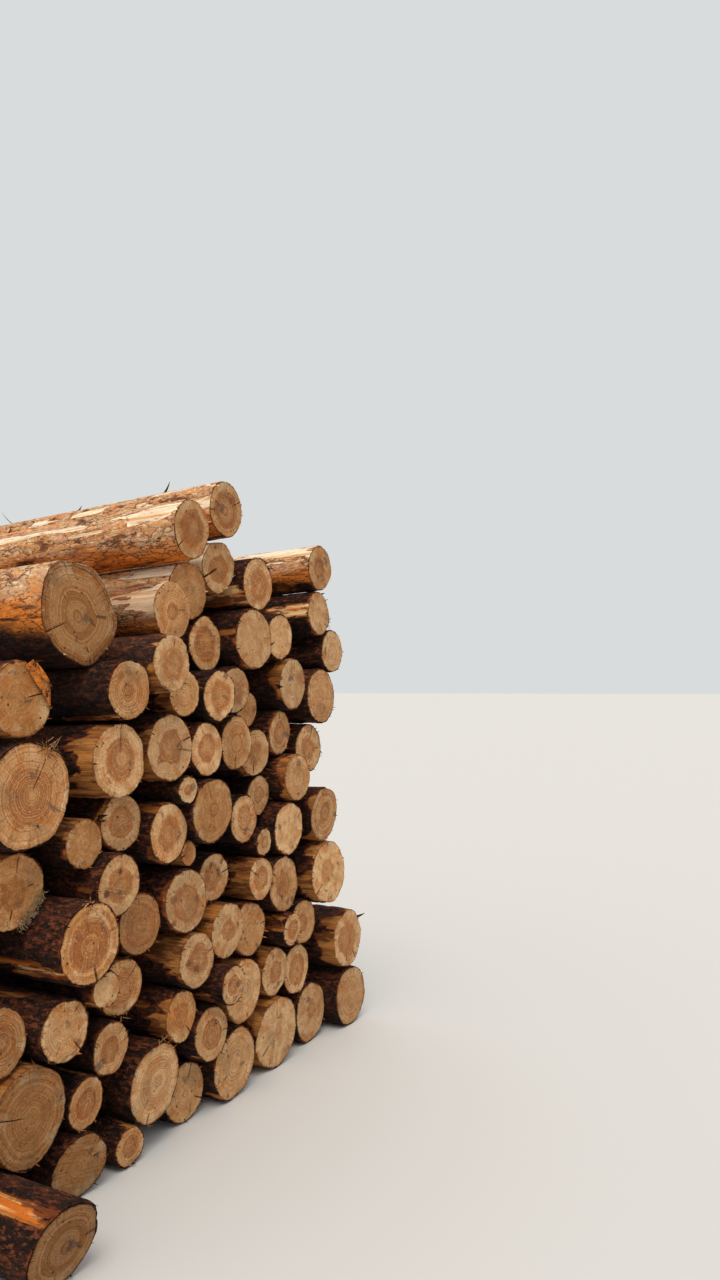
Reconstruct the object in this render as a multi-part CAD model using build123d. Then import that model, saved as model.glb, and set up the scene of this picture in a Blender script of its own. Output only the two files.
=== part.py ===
from build123d import *
import os
from math import hypot, sqrt

os.makedirs("parts", exist_ok=True)

# A stack of softwood logs, built in millimetres. Their sawn butt ends make one face, which looks
# along -Y. The logs run away from it along +Y, +X is the right-hand side of the face, +Z is up.

# Driving sizes
log_length = 3000  # the standard length these logs are cut to
taper_per_metre = 0.025  # share of its butt diameter that a log loses in each metre
seat_gap = 0.1  # air left where one log rests on another
bark_flats = 44  # narrow flats around a log, under half a millimetre off the round
bark_thickness = 5  # bark outside the sawn wood that was measured
length_steps = (0, 15, -10, 25, -20, 10, 5)  # how far the saw missed the length, log after log

# Where the face was measured from: across from its right-hand side, out in front, above the ground
viewer_across = 4110
viewer_out = 2170
viewer_height = 1600

# Every log from the ground up, as its sawn end was read off the face, in centimetres: how far its
# middle lies from the right-hand side, its height, its diameter without bark and how far it stands
# out of the face.
courses = {
    "course_01_ground": [
        (14, 14, 27, 0),
        (51, 17, 25, -6),
        (78, 17, 29, -2),
        (108, 13, 27, 0),
        (139, 16, 21, -5),
        (168, 7, 13, 0),
        (191, 10, 20, 0),
        (197, -11, 26, 29),
        (248, 12, 25, 0),
    ],
    "course_02": [
        (17, 45, 27, 0),
        (123, 31, 20, 0),
        (155, 22, 27, 0),
        (188, 29, 16, 0),
        (211, 34, 29, 2),
        (102, 40, 25, -2),
        (80, 44, 20, -3),
        (63, 42, 21, -6),
        (141, 40, 18, 0),
        (177, 43, 17, 0),
        (243, 36, 23, 0),
    ],
    "course_03": [
        (109, 46, 15, 8),
        (66, 58, 14, 2),
        (57, 62, 19, -3),
        (132, 58, 20, 4),
        (98, 63, 21, -2),
        (197, 59, 19, 0),
        (172, 60, 19, -2),
        (179, 63, 12, 6),
        (222, 60, 20, 0),
        (247, 56, 23, 2),
    ],
    "course_04": [
        (113, 68, 21, 3),
        (35, 79, 28, 0),
        (73, 77, 23, -1),
        (90, 82, 17, 1),
        (163, 79, 21, 0),
        (186, 79, 26, 9),
        (138, 89, 23, 2),
        (122, 92, 18, -1),
        (236, 84, 22, 0),
        (88, 96, 11, 0),
        (69, 99, 22, 0),
    ],
    "course_05": [
        (173, 95, 20, 2),
        (137, 103, 9, 0),
        (217, 105, 23, 0),
        (189, 112, 16, 0),
        (148, 110, 21, 3),
        (39, 109, 24, 0),
        (102, 112, 19, 1),
        (122, 118, 24, 2),
        (92, 112, 16, -8),
        (172, 114, 19, 0),
    ],
    "course_06": [
        (62, 120, 20, 3),
        (137, 123, 10, 4),
        (94, 132, 19, -5),
        (53, 133, 21, -3),
        (211, 134, 32, 0),
        (173, 136, 25, 5),
        (147, 141, 24, 5),
        (126, 139, 20, 3),
        (107, 138, 21, 1),
        (76, 137, 18, -6),
    ],
    "course_07": [
        (100, 151, 14, -7),
        (42, 156, 24, 0),
        (66, 159, 22, 0),
        (108, 160, 18, -3),
        (118, 160, 19, 4),
        (139, 159, 16, -4),
        (146, 164, 20, 5),
        (168, 158, 19, 0),
        (214, 162, 23, 0),
    ],
    "course_08": [
        (32, 179, 19, 0),
        (76, 180, 19, -2),
        (95, 185, 24, 0),
        (127, 179, 20, -8),
        (146, 185, 21, 5),
        (191, 187, 33, 0),
    ],
    "course_09": [
        (137, 193, 21, -4),
        (44, 195, 19, 0),
        (119, 204, 20, 0),
        (92, 209, 21, 0),
    ],
    "course_10_top": [
        (135, 215, 21, 2),
        (43, 217, 20, 0),
        (114, 227, 21, 0),
    ],
}

# How a resting place is chosen: how upright a log must stand on the one below, how much a shift to
# the side counts beside a shift in height, and how far from its reading two supports are worth
least_upright = 0.45
side_weight = 0.5
worth_of_two_supports = 12


def between_two(first, second, radius):
    """Centres of a log that rests on two laid ones, each given as (across, height, radius)."""
    first_reach = first[2] + radius + seat_gap
    second_reach = second[2] + radius + seat_gap
    apart = hypot(second[0] - first[0], second[1] - first[1])
    if apart == 0 or apart >= first_reach + second_reach:
        return []
    along = (first_reach**2 - second_reach**2 + apart**2) / (2 * apart)
    if first_reach <= abs(along):
        return []
    off = sqrt(first_reach**2 - along**2)
    step_across = (second[0] - first[0]) / apart
    step_up = (second[1] - first[1]) / apart
    middle_across = first[0] + step_across * along
    middle_height = first[1] + step_up * along
    return [
        (middle_across - step_up * off, middle_height + step_across * off),
        (middle_across + step_up * off, middle_height - step_across * off),
    ]


def ground_places(laid, radius, across):
    """Places on the ground: where it was read, or against each log that is near the ground."""
    found = [(across, radius, True)]
    for log in laid:
        reach = log[2] + radius + seat_gap
        rise = log[1] - radius
        if reach > abs(rise):
            side = sqrt(reach**2 - rise**2)
            found += [(log[0] - side, radius, True), (log[0] + side, radius, True)]
    return found


def single_places(laid, radius, across, height):
    """Places on the top half of one log, in line with where the new one was read."""
    found = []
    for log in laid:
        far = hypot(across - log[0], height - log[1])
        if far > 0 and (height - log[1]) / far > least_upright:
            share = (log[2] + radius + seat_gap) / far
            found.append((log[0] + (across - log[0]) * share, log[1] + (height - log[1]) * share, False))
    return found


def hollow_places(laid, radius):
    """Places in the hollow between two logs."""
    found = []
    for index, first in enumerate(laid):
        for second in laid[:index]:
            for across, height in between_two(first, second, radius):
                on_top = height - min(first[1], second[1]) > least_upright * radius
                steady = min(first[0], second[0]) <= across <= max(first[0], second[0])
                if on_top:
                    found.append((across, height, steady))
    return found


def is_free(laid, radius, across, height):
    """Whether a log there clears the ground and every log laid so far."""
    tolerance = 0.001
    if height < radius - tolerance:
        return False
    for log in laid:
        if hypot(across - log[0], height - log[1]) < log[2] + radius + seat_gap - tolerance:
            return False
    return True


def seat(laid, radius, across, height):
    """The free resting place nearest to where the log was read."""
    places = ground_places(laid, radius, across)
    places += single_places(laid, radius, across, height)
    places += hollow_places(laid, radius)
    best_cost = None
    best_place = None
    for place_across, place_height, steady in places:
        cost = (place_height - height) ** 2 + side_weight * (place_across - across) ** 2
        if steady:
            cost -= worth_of_two_supports**2
        if best_cost is not None and cost >= best_cost:
            continue
        if is_free(laid, radius, place_across, place_height):
            best_cost = cost
            best_place = (place_across, place_height)
    return best_place


def stand_out(seated_across, seen_across):
    """How far a log's end stands out of the face, to be seen where it was read."""
    return viewer_out * (1 - (viewer_across - seated_across) / (viewer_across - seen_across))


def lay_stack():
    """Lays every log and returns, for each course, its (across, height, radius, stand-out)."""
    laid = []
    stack = {}
    for name, readings in courses.items():
        stack[name] = []
        for reading in readings:
            seen_across, seen_height, diameter, out = (10 * value for value in reading)
            nearer = 1 - out / viewer_out
            radius = diameter * nearer / 2 + bark_thickness
            aim_across = viewer_across - (viewer_across - seen_across) * nearer
            aim_height = viewer_height + (seen_height - viewer_height) * nearer
            across, height = seat(laid, radius, aim_across, aim_height)
            laid.append((across, height, radius))
            stack[name].append((across, height, radius, stand_out(across, seen_across)))
    return stack


def log_ends(stack):
    """The butt and top end of every log as (x, y, z, radius), with the stack centred on the origin.

    All logs narrow away from the face in step, towards one far point at ground level, so what
    touches at the face touches all along.
    """
    every_log = [log for logs in stack.values() for log in logs]
    left = max(across + radius for across, height, radius, out in every_log)
    right = min(across - radius for across, height, radius, out in every_log)
    ends = {}
    count = 0
    for name, logs in stack.items():
        ends[name] = []
        for across, height, radius, out in logs:
            length = log_length + length_steps[count % len(length_steps)]
            count += 1
            both = []
            for along in (-out, length - out):
                scale = 1 - taper_per_metre * along / 1000
                sideways = (left + right) / 2 - across
                both.append((sideways * scale, along, height * scale, radius * scale))
            ends[name].append(both)
    return centred(ends)


def centred(ends):
    """The same ends, with the middle of the stack's footprint at X = Y = 0."""
    every_end = [end for logs in ends.values() for both in logs for end in both]
    high_x = max(x + radius for x, y, z, radius in every_end)
    low_x = min(x - radius for x, y, z, radius in every_end)
    high_y = max(y for x, y, z, radius in every_end)
    low_y = min(y for x, y, z, radius in every_end)
    shift_x = (high_x + low_x) / 2
    shift_y = (high_y + low_y) / 2
    return {
        name: [[(x - shift_x, y - shift_y, z, radius) for x, y, z, radius in both] for both in logs]
        for name, logs in ends.items()
    }


def sawn_end(x, y, z, radius):
    """The outline of a log where it is sawn through, square to the stack."""
    plane = Plane(origin=(x, y, z), x_dir=(1, 0, 0), z_dir=(0, -1, 0))
    return plane * RegularPolygon(radius, bark_flats)


def log_solid(butt, top):
    """One log, straight from its butt end to its top end."""
    return loft([sawn_end(*butt), sawn_end(*top)], ruled=True)


for name, logs in log_ends(lay_stack()).items():
    course = Compound(children=[log_solid(butt, top) for butt, top in logs])
    course.label = name
    export_step(course, f"parts/{name}.step")
    print(name, len(logs), "logs")
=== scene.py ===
"""The looks of a stack of softwood logs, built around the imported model, in metres."""
import itertools
import math

import bpy
import numpy as np
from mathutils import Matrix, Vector


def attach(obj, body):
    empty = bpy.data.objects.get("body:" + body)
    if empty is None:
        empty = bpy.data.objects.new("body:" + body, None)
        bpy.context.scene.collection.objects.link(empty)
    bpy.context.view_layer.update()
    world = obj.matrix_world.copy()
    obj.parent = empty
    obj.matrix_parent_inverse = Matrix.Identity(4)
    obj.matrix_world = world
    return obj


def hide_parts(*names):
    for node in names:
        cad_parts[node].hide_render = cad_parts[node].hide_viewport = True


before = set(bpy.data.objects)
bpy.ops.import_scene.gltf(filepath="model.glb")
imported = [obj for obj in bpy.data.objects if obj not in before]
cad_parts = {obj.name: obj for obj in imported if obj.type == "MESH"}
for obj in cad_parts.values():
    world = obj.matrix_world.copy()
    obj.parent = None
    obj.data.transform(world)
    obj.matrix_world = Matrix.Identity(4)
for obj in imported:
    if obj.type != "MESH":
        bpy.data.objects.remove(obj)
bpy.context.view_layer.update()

# Numbers that look random come from these tables, the same in each run
LAST = 255
RANDOM = np.random.RandomState(11)
SHUFFLED = RANDOM.permutation(LAST + 1)
VALUES = RANDOM.rand(LAST + 1)

BARK = 0.005  # how far the bark stands outside the sawn wood
TOP_HEIGHT = 1.76  # logs above this and open to the sky have thin orange bark, others dark plates
LOWEST = 0.0002  # no point lies nearer to the ground than this
ALL_ROUND = 6.28  # the highest angle picked at random
RAYS = 48  # directions in which a log looks for open air
GROUND_REACH = 3  # how far down such a direction may meet the ground

# How bare a place is, from 0 on bark to 1 on bare wood, and beyond that
FRESH = 1.3  # wood that was laid bare not long ago, and is still orange
LICHEN = 3.0  # a loose bit of lichen

# How finely a log's bark is made: points around it, the widest gap between rows and how far from the butt
# that holds, the widest gap behind that, and the count of chips
HIDDEN = dict(columns=48, widest=0.034, until=0.42, behind=0.4, chips=8)
OUTSIDE = dict(columns=68, widest=0.03, until=0.9, behind=0.05, chips=12)
CLOSE_BY = dict(columns=104, widest=0.022, until=1.3, behind=0.05, chips=36)

# The sawn faces of a butt and of a top: points around, and rings of points from pith to rim
FACE_COLUMNS = (84, 32)
FACE_RINGS = ((0.12, 0.32, 0.5, 0.66, 0.8, 0.9, 0.96, 1.0), (0.3, 0.7, 0.93, 1.0))
CUT_HALF = 0.004  # half the width of a crack at the rim
CUTS = {"crack": (0.004, 1.0), "slit": (0.02, 2.4), "split": (0.02, 2.4)}  # how deep, and how wide


# Noise

def hashed(ix, iy, iz):
    """A number from 0 to 255 for each cell of a lattice."""
    return SHUFFLED[(SHUFFLED[(SHUFFLED[ix & LAST] + iy) & LAST] + iz) & LAST]


def smooth(t):
    """Eases a value from 0 to 1 in and out."""
    return t * t * (3 - 2 * t)


def step(low, high, value):
    """0 below low, 1 above high and smooth between."""
    return smooth(np.clip((value - low) / (high - low), 0, 1))


def noise(points):
    """Smooth noise from 0 to 1 at each point."""
    cell = np.floor(points).astype(int)
    t = smooth(points - cell)
    total = 0
    for corner in itertools.product((0, 1), repeat=3):
        weight = np.ones(len(points))
        for axis, far in enumerate(corner):
            weight = weight * (t[:, axis] if far else 1 - t[:, axis])
        total = total + weight * VALUES[hashed(*(cell + corner).T)]
    return total


def layered(points, layers):
    """Noise at several scales, from about 0 to 1."""
    total, size, weight = 0, 0, 1
    for layer in range(layers):
        total = total + weight * noise(points * 2**layer + 17.3 * layer)
        size += weight
        weight *= 0.5
    return total / size


def plates(points):
    """For each point, how far it is from the border of its cell, and a number for that cell."""
    base = np.floor(points).astype(int)
    first = np.full(len(points), 9.0)
    second = first.copy()
    tag = np.zeros(len(points))
    for neighbour in itertools.product((-1, 0, 1), repeat=3):
        near = base + neighbour
        h = hashed(*near.T)
        spot = near + np.stack((VALUES[h], VALUES[SHUFFLED[h]], VALUES[(h + 91) & LAST]), 1)
        far = ((spot - points) ** 2).sum(1)
        closer = far < first
        second = np.where(closer, first, np.minimum(second, far))
        tag = np.where(closer, VALUES[(h + 37) & LAST], tag)
        first = np.where(closer, far, first)
    return np.sqrt(second) - np.sqrt(first), tag


# Directions

def wrapped(angle):
    """The same angle between half a turn back and half a turn on."""
    return (angle + math.pi) % math.tau - math.pi


def outwards(angle):
    """The direction away from a log's middle, at an angle round it."""
    return np.array((math.cos(angle), 0, math.sin(angle)))


def unit(vector):
    return vector / np.linalg.norm(vector)


# The logs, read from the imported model

class Log:
    """One log: the middle and radius of its butt and top, and its own random numbers."""

    def __init__(self, course, index, points):
        middle = (points[:, 1].min() + points[:, 1].max()) / 2
        self.key = (course, index)
        self.ends = []
        for end in (points[points[:, 1] < middle], points[points[:, 1] > middle]):
            centre = end.mean(0)
            radius = np.linalg.norm(end - centre, axis=1).max()
            self.ends.append((centre, radius))
        self.random = np.random.RandomState(sum(ord(c) for c in course) * 31 + index * 7)
        self.seed = self.random.rand() * 50
        self.height = self.ends[0][0][2]
        self.radius = self.ends[0][1]

    def pick(self, low, high):
        return low + (high - low) * self.random.rand()


def read_logs(name, node):
    """The separate solids of a node, in the order they were built."""
    mesh = node.data
    points = np.array([v.co[:] for v in mesh.vertices])
    keys = {}
    same = [keys.setdefault(tuple(p), i) for i, p in enumerate(np.round(points, 5))]
    parent = list(range(len(points)))

    def root(i):
        while parent[i] != i:
            parent[i] = parent[parent[i]]
            i = parent[i]
        return i

    for i, j in enumerate(same):
        parent[root(i)] = root(j)
    for polygon in mesh.polygons:
        first = root(polygon.vertices[0])
        for i in polygon.vertices[1:]:
            parent[root(i)] = first
    groups = {}
    for polygon in mesh.polygons:
        groups.setdefault(root(polygon.vertices[0]), set()).update(polygon.vertices)
    logs = []
    for index, group in enumerate(groups.values()):
        own = sorted({same[i] for i in group})
        logs.append(Log(name, index, points[own]))
    return logs


courses = {name: read_logs(name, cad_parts[name]) for name in sorted(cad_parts)}
every_log = [log for logs in courses.values() for log in logs]


def is_clear(log, start, away):
    """Whether a direction from a log's side meets neither the ground nor another log."""
    if away[1] < 0 and start[1] + away[1] * GROUND_REACH < 0:
        return False
    for other in every_log:
        if other is log:
            continue
        spot, size = other.ends[0]
        to = np.array((spot[0], spot[2])) - start
        along = to @ away
        if along > 0 and to @ to - along * along < size * size:
            return False
    return True


def find_exposed():
    """How much of each log's side is open to the air, and to the sky, from 0 to 1."""
    for log in every_log:
        centre, radius = log.ends[0]
        clear, sky = 0, 0
        for angle in np.arange(RAYS) * math.tau / RAYS:
            away = np.array((math.cos(angle), math.sin(angle)))
            start = np.array((centre[0], centre[2])) + away * radius * 1.01
            if is_clear(log, start, away):
                clear += 1
                sky += away[1] > 0.5
        log.open = clear / RAYS
        log.sky = sky / (RAYS / 3)


find_exposed()


# What stands out on single logs

def wood(heart, tone, rings, **others):
    """A log's looks: the three that say most about its sawn face, and others by name."""
    return dict(heart=heart, tone=tone, rings=rings, **others)


# Angles are in degrees from the right-hand side and count up over the top
# heart: how far the darker heartwood reaches, 0 for none; sharp: how clear its edge is
# tone: from pale cream (0) to orange brown (1); shade: brightness; rings, streaks, knots: how strong
# crack, slit, split: angle, start and stop, from the pith (0) to the rim (1)
# shape, lumps: the outline by angle and reach, and how uneven it is; rim: how far the wood lies inside
# slant: how far the face leans back across and up; step: where the saw was set anew, and at what angle
# bare: how far the bark is gone at the butt, in metres; torn: how much of it is torn off elsewhere
# patches: bare places, by angle, half width in degrees, start and stop in metres from the butt
# thin: 1 for thin orange bark, 0 for dark plates; shadow: how far the painted shade, dark bark, reaches up
# the side
LOOKS = {}
LOOKS["course_01_ground"] = {
    1: wood(0.3, 0.3, 0.3),
    2: wood(0.2, 0.02, 0.3, crack=(95, 0.4, 1)),
    3: wood(0, 0.3, 0.6),
    5: wood(0.6, 0.5, 0.6),
    6: wood(0, 0.9, 0.7, shade=0.67, streaks=0.8, bare=0, slant=(-0.17, -0.1), knots=0.5),
    7: wood(
        0.3, 1, 1, shade=0.56, sharp=0, slant=(-0.1, -0.22), bare=0, rim=0.002, lumps=0.015,
        torn=0, streaks=0.1, patches=((122, 15, 0, 0.42),),
    ),
}
LOOKS["course_02"] = {
    0: wood(0.6, 0.15, 0.3, sharp=1),
    1: wood(0.55, 0.35, 0.6, sharp=1),
    2: wood(0, 0.15, 0.8, shade=1, step=(0.45, 0.3)),
    3: wood(0.6, 0.75, 0.6, crack=(215, 0.55, 0.95)),
    4: wood(0, 0.95, 0.7, shade=0.66, crack=(165, 0.2, 0.8)),
    5: wood(0, 0.25, 0.5),
    6: wood(0.45, 0.15, 0.5, sharp=1),
    8: wood(0.5, 0.8, 0.6),
    9: wood(0.5, 0.6, 0.4, sharp=1),
    10: wood(0.5, 0.4, 0.5),
}
LOOKS["course_03"] = {
    3: wood(0.55, 0.15, 0.4, sharp=1, bare=0.2),
    4: wood(0, 0.65, 0.5, knots=1),
    6: wood(0.7, 0.55, 0.5, crack=(40, 0.4, 1)),
    7: wood(0, 0.1, 0.2),
    8: wood(0.5, 0.6, 0.8, sharp=1),
    9: wood(0.5, 0.4, 0.5),
}
LOOKS["course_04"] = {
    0: wood(0.4, 0.15, 0.3, knots=0.6, bare=0.1),
    1: wood(0.35, 0.05, 0.3, bare=0.14),
    2: wood(0.5, 0.6, 0.5),
    3: wood(0.6, 0.15, 0.4, bare=0.3),
    4: wood(0.72, 0.7, 0.6, crack=(265, 0.75, 1)),
    5: wood(
        0.72, 0.9, 0.6, bare=0, crack=(95, 0.4, 1), split=(285, 0.6, 1), shade=1.17, rim=0.0015,
        torn=0, patches=((216, 9, 0, 0.2), (206, 4, 0.12, 0.36)),
    ),
    6: wood(0.62, 0.1, 0.4),
    7: wood(0.6, 0.2, 0.3, knots=0.7),
    10: wood(0, 0.15, 0.3),
}
LOOKS["course_05"] = {
    0: wood(0.62, 0.35, 0.4, sharp=1, knots=1),
    2: wood(0.4, 0.75, 0.3),
    3: wood(0, 0.85, 0.5, bare=0.2),
    4: wood(0.58, 0.22, 0.5, sharp=1),
    7: wood(0.3, 0.85, 0.7),
    9: wood(0.58, 0.3, 0.3, sharp=1, step=(0.3, 0.8)),
}
LOOKS["course_06"] = {
    1: wood(0.45, 0.15, 0.2, sharp=1),
    4: wood(0.56, 0.5, 1, shade=1.17, knots=0.35, streaks=0.1, sharp=1, crack=(60, 0.1, 0.6)),
    5: wood(0.52, 0.22, 0.8, sharp=1, crack=(85, 0.2, 0.85), bare=0.16),
    6: wood(0.5, 0.2, 0.8, sharp=1),
    7: wood(0.5, 0.15, 0.3, sharp=1, crack=(110, 0.6, 1)),
    8: wood(0.35, 0.75, 0.7, crack=(265, 0.5, 1)),
}
LOOKS["course_07"] = {
    6: wood(0.56, 0.25, 0.4, crack=(80, 0.55, 1), bare=0.12),
    7: wood(0.35, 0.6, 1),
    8: wood(0, 0.95, 0.3, crack=(13, 0.2, 1), lumps=0.02, bare=0.03, rim=0.001, streaks=0.2, torn=0.3),
}
LOOKS["course_08"] = {
    0: dict(thin=0, torn=0.6, bare=0),
    1: wood(0, 0.25, 0.4, thin=0, bare=0, streaks=0.7),
    2: wood(0, 0.35, 0.5, thin=0, bare=0.02, streaks=1),
    3: wood(0.62, 0.62, 0.4),
    4: wood(0.3, 0.72, 0.6, thin=0.4, bare=0.22),
    5: wood(
        0, 1, 0.9, shade=0.74, shadow=0.24, sharp=0, streaks=0, lumps=0.004, bare=0,
        rim=0.001, torn=0.6, knots=0, step=(0.68, 1.5), crack=(205, 0.45, 1), slant=(0, 0),
        shape=(
            (-153, 0.93), (-107, 0.9), (-77, 1.04), (-50, 0.99), (-24, 1.04), (0, 1.02),
            (27, 0.87), (63, 1), (90, 0.95), (123, 1.1), (149, 1.04), (180, 0.97),
        ),
    ),
}
LOOKS["course_09"] = {
    0: dict(thin=1, tone=0.7, torn=0.6, shadow=-0.06, patches=((122, 20, 0, 0.24),)),
    1: wood(0, 0.3, 0.2, thin=0, bare=0.02, torn=0.3, patches=((170, 16, 0.02, 0.2),)),
    2: wood(0.6, 0.35, 0.4, slit=(207, 0.12, 0.85)),
    3: wood(0.62, 0.45, 0.5, bare=0, patches=((205, 26, 0, 0.3),), thin=0),
}
LOOKS["course_10_top"] = {
    0: wood(
        0.68, 0.5, 0.4, shade=0.9, bare=0, shadow=-0.16,
        patches=((150, 22, 0, 0.24), (146, 7, 0.44, 0.95), (168, 5, 0.3, 0.5)), torn=0.6,
    ),
    1: wood(0.5, 0.45, 0.5, bare=0, patches=((122, 30, 0, 0.9),), torn=0.3),
    2: wood(0.75, 0.62, 0.7, shade=0.88, bare=0),
}


def give_look(log):
    """A log's looks: those named above, and random ones."""
    plain = log.pick(0, 1) < 0.3
    look = dict(
        heart=0 if plain else log.pick(0.38, 0.66),
        tone=log.pick(0.05, 0.6),
        rings=log.pick(0.3, 0.7),
        sharp=float(log.pick(0, 1) < 0.4),
        streaks=log.pick(0.1, 0.6),
        knots=0 if log.pick(0, 1) < 0.75 else log.pick(0.3, 0.7),
        lumps=log.pick(0.012, 0.036),
        bare=max(0, log.pick(-0.1, 0.11)),
        slant=(log.pick(-0.04, 0.04), log.pick(-0.04, 0.04)),
        crack=None if log.pick(0, 1) < 0.6 else (log.pick(0, 360), log.pick(0.4, 0.7), 1.0),
        shade=log.pick(0.84, 1.1),
        step=None if log.pick(0, 1) < 0.7 else (log.pick(0.1, 0.7), log.pick(0, ALL_ROUND)),
        slit=None, split=None, shape=None, patches=(), torn=1, thin=None, shadow=0, rim=0,
    )
    look.update(LOOKS[log.key[0]].get(log.key[1], {}))
    log.look = look
    log.thin = look["thin"]
    if log.thin is None:
        log.thin = float(step(0.1, 0.45, log.sky) * step(TOP_HEIGHT - 0.1, TOP_HEIGHT + 0.1, log.height))
    log.waves = []
    for count in (2, 3, 4, 5, 7):
        log.waves.append((count, log.pick(0, ALL_ROUND), log.pick(0.4, 1) * look["lumps"] / count**0.6))
    log.bow = log.pick(-0.006, 0.006)


def outline(log, angles):
    """How far the log's own outline is from a circle of 1, at each angle."""
    shape = np.ones_like(angles)
    for count, turn, size in log.waves:
        shape = shape + size * np.cos(count * angles + turn)
    ring = np.stack((np.cos(angles), np.sin(angles), np.zeros_like(angles)), 1)
    broad = noise(ring * 2.2 + log.seed) - 0.5
    ragged = noise(ring * 7 + log.seed) - 0.5
    shape = shape * (1 + 0.06 * broad + 0.03 * ragged) - 0.012
    if log.look["shape"]:
        turns, reach = zip(*log.look["shape"])
        for turn in (-9, 0, 9):
            shape = shape + (np.interp(np.degrees(angles) + turn, turns, reach, period=360) - 1) / 3
    return shape


class Mesh:
    """Collects the points, faces and data of many logs, then makes one object."""

    def __init__(self):
        self.points = []
        self.faces = []
        self.data = {}
        self.count = 0

    def add(self, points, quads, triangles, data):
        self.points.append(np.maximum(points, (-np.inf, -np.inf, LOWEST)))
        self.faces += [quads + self.count, triangles + self.count]
        for key, values in data.items():
            self.data.setdefault(key, []).append(values)
        self.count += len(points)

    def build(self, name, material, sharp):
        """The finished object, with edges over a number of degrees kept sharp."""
        mesh = bpy.data.meshes.new(name)
        points = np.concatenate(self.points)
        mesh.vertices.add(len(points))
        mesh.vertices.foreach_set("co", points.ravel())
        sizes = np.concatenate([np.full(len(f), f.shape[1]) for f in self.faces])
        corners = np.concatenate([f.ravel() for f in self.faces])
        mesh.loops.add(len(corners))
        mesh.loops.foreach_set("vertex_index", corners)
        mesh.polygons.add(len(sizes))
        mesh.polygons.foreach_set("loop_start", np.concatenate(([0], np.cumsum(sizes)[:-1])))
        mesh.polygons.foreach_set("use_smooth", np.full(len(sizes), True))
        for key, parts in self.data.items():
            attribute = mesh.attributes.new(key, "FLOAT_VECTOR", "POINT")
            attribute.data.foreach_set("vector", np.concatenate(parts).ravel())
        mesh.update(calc_edges=True)
        mesh.validate()
        mesh.set_sharp_from_angle(angle=math.radians(sharp))
        mesh.materials.append(material)
        made = bpy.data.objects.new(name, mesh)
        bpy.context.scene.collection.objects.link(made)
        return made


def grid_faces(rows, columns):
    """Quads of a closed tube of rows by columns of points, and triangles to a pole at each end.

    The first pole is point rows * columns and the last one comes after it.
    """
    row = np.arange(rows - 1)[:, None] * columns
    here = np.arange(columns)
    after = (here + 1) % columns
    quads = np.stack((row + here, row + columns + here, row + columns + after, row + after), -1)
    last = (rows - 1) * columns
    pole = np.full(columns, rows * columns)
    front = np.stack((pole, here, after), -1)
    back = np.stack((pole + 1, last + after, last + here), -1)
    return quads.reshape(-1, 4), np.concatenate((front, back))


def axis_point(log, along):
    """The middle and radius of a log at each distance along it from the butt, bark included."""
    (butt, butt_radius), (top, top_radius) = log.ends
    t = along / (top[1] - butt[1])
    centre = butt[None, :] + (top - butt)[None, :] * t[:, None]
    bow = log.bow * np.sin(np.pi * np.clip(t, 0, 1))
    centre[:, 0] += bow * math.cos(log.seed)
    centre[:, 2] += bow * math.sin(log.seed)
    return centre, butt_radius + (top_radius - butt_radius) * t


# Bark

def spread_rows(log, length):
    """Distances along a log of its rows of bark points, close together near both ends."""
    widest, until, behind = (log.detail[key] for key in ("widest", "until", "behind"))
    rows, at, gap = [], 0.0, 0.006
    while at < length * 0.6:
        rows.append(at)
        gap = min(gap * 1.22, widest if at < until else behind)
        at += gap
    tail, at, gap = [], 0.0, 0.01
    while at < length * 0.4:
        tail.append(length - at)
        gap = min(gap * 1.4, behind)
        at += gap
    return np.array(rows + tail[::-1])


def add_chip(mesh, log, base, out, along, size, lift, curl, tones):
    """A thin torn chip, closed on all sides, that starts at base under a log's surface and rises outwards.

    size is (length, width). tones says how bare it is, how thin its bark, how far it is turned up, and a
    number of its own.
    """
    length, width = size
    t = np.linspace(0, 1, 5)[:, None]
    line = base + along * length * t + out * length * (lift * t + curl * t * t)
    half = width / 2 * (1.05 - t**2) * np.cross(along, out)
    thick = 0.0007 * (1.2 - t) * out
    rows = np.stack((line - half - thick, line + half - thick, line + half + thick, line - half + thick), 1)
    points = np.concatenate((rows.reshape(-1, 3), [line[0], line[-1] + along * width * 0.1]))
    peel, thin, up, tag = tones
    kind = np.tile((peel, 0.8, thin), (len(points), 1))
    more = np.tile((up, tag, log.seed), (len(points), 1))
    mesh.add(points, *grid_faces(5, 4), {"skin": points + log.seed, "kind": kind, "more": more})


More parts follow.
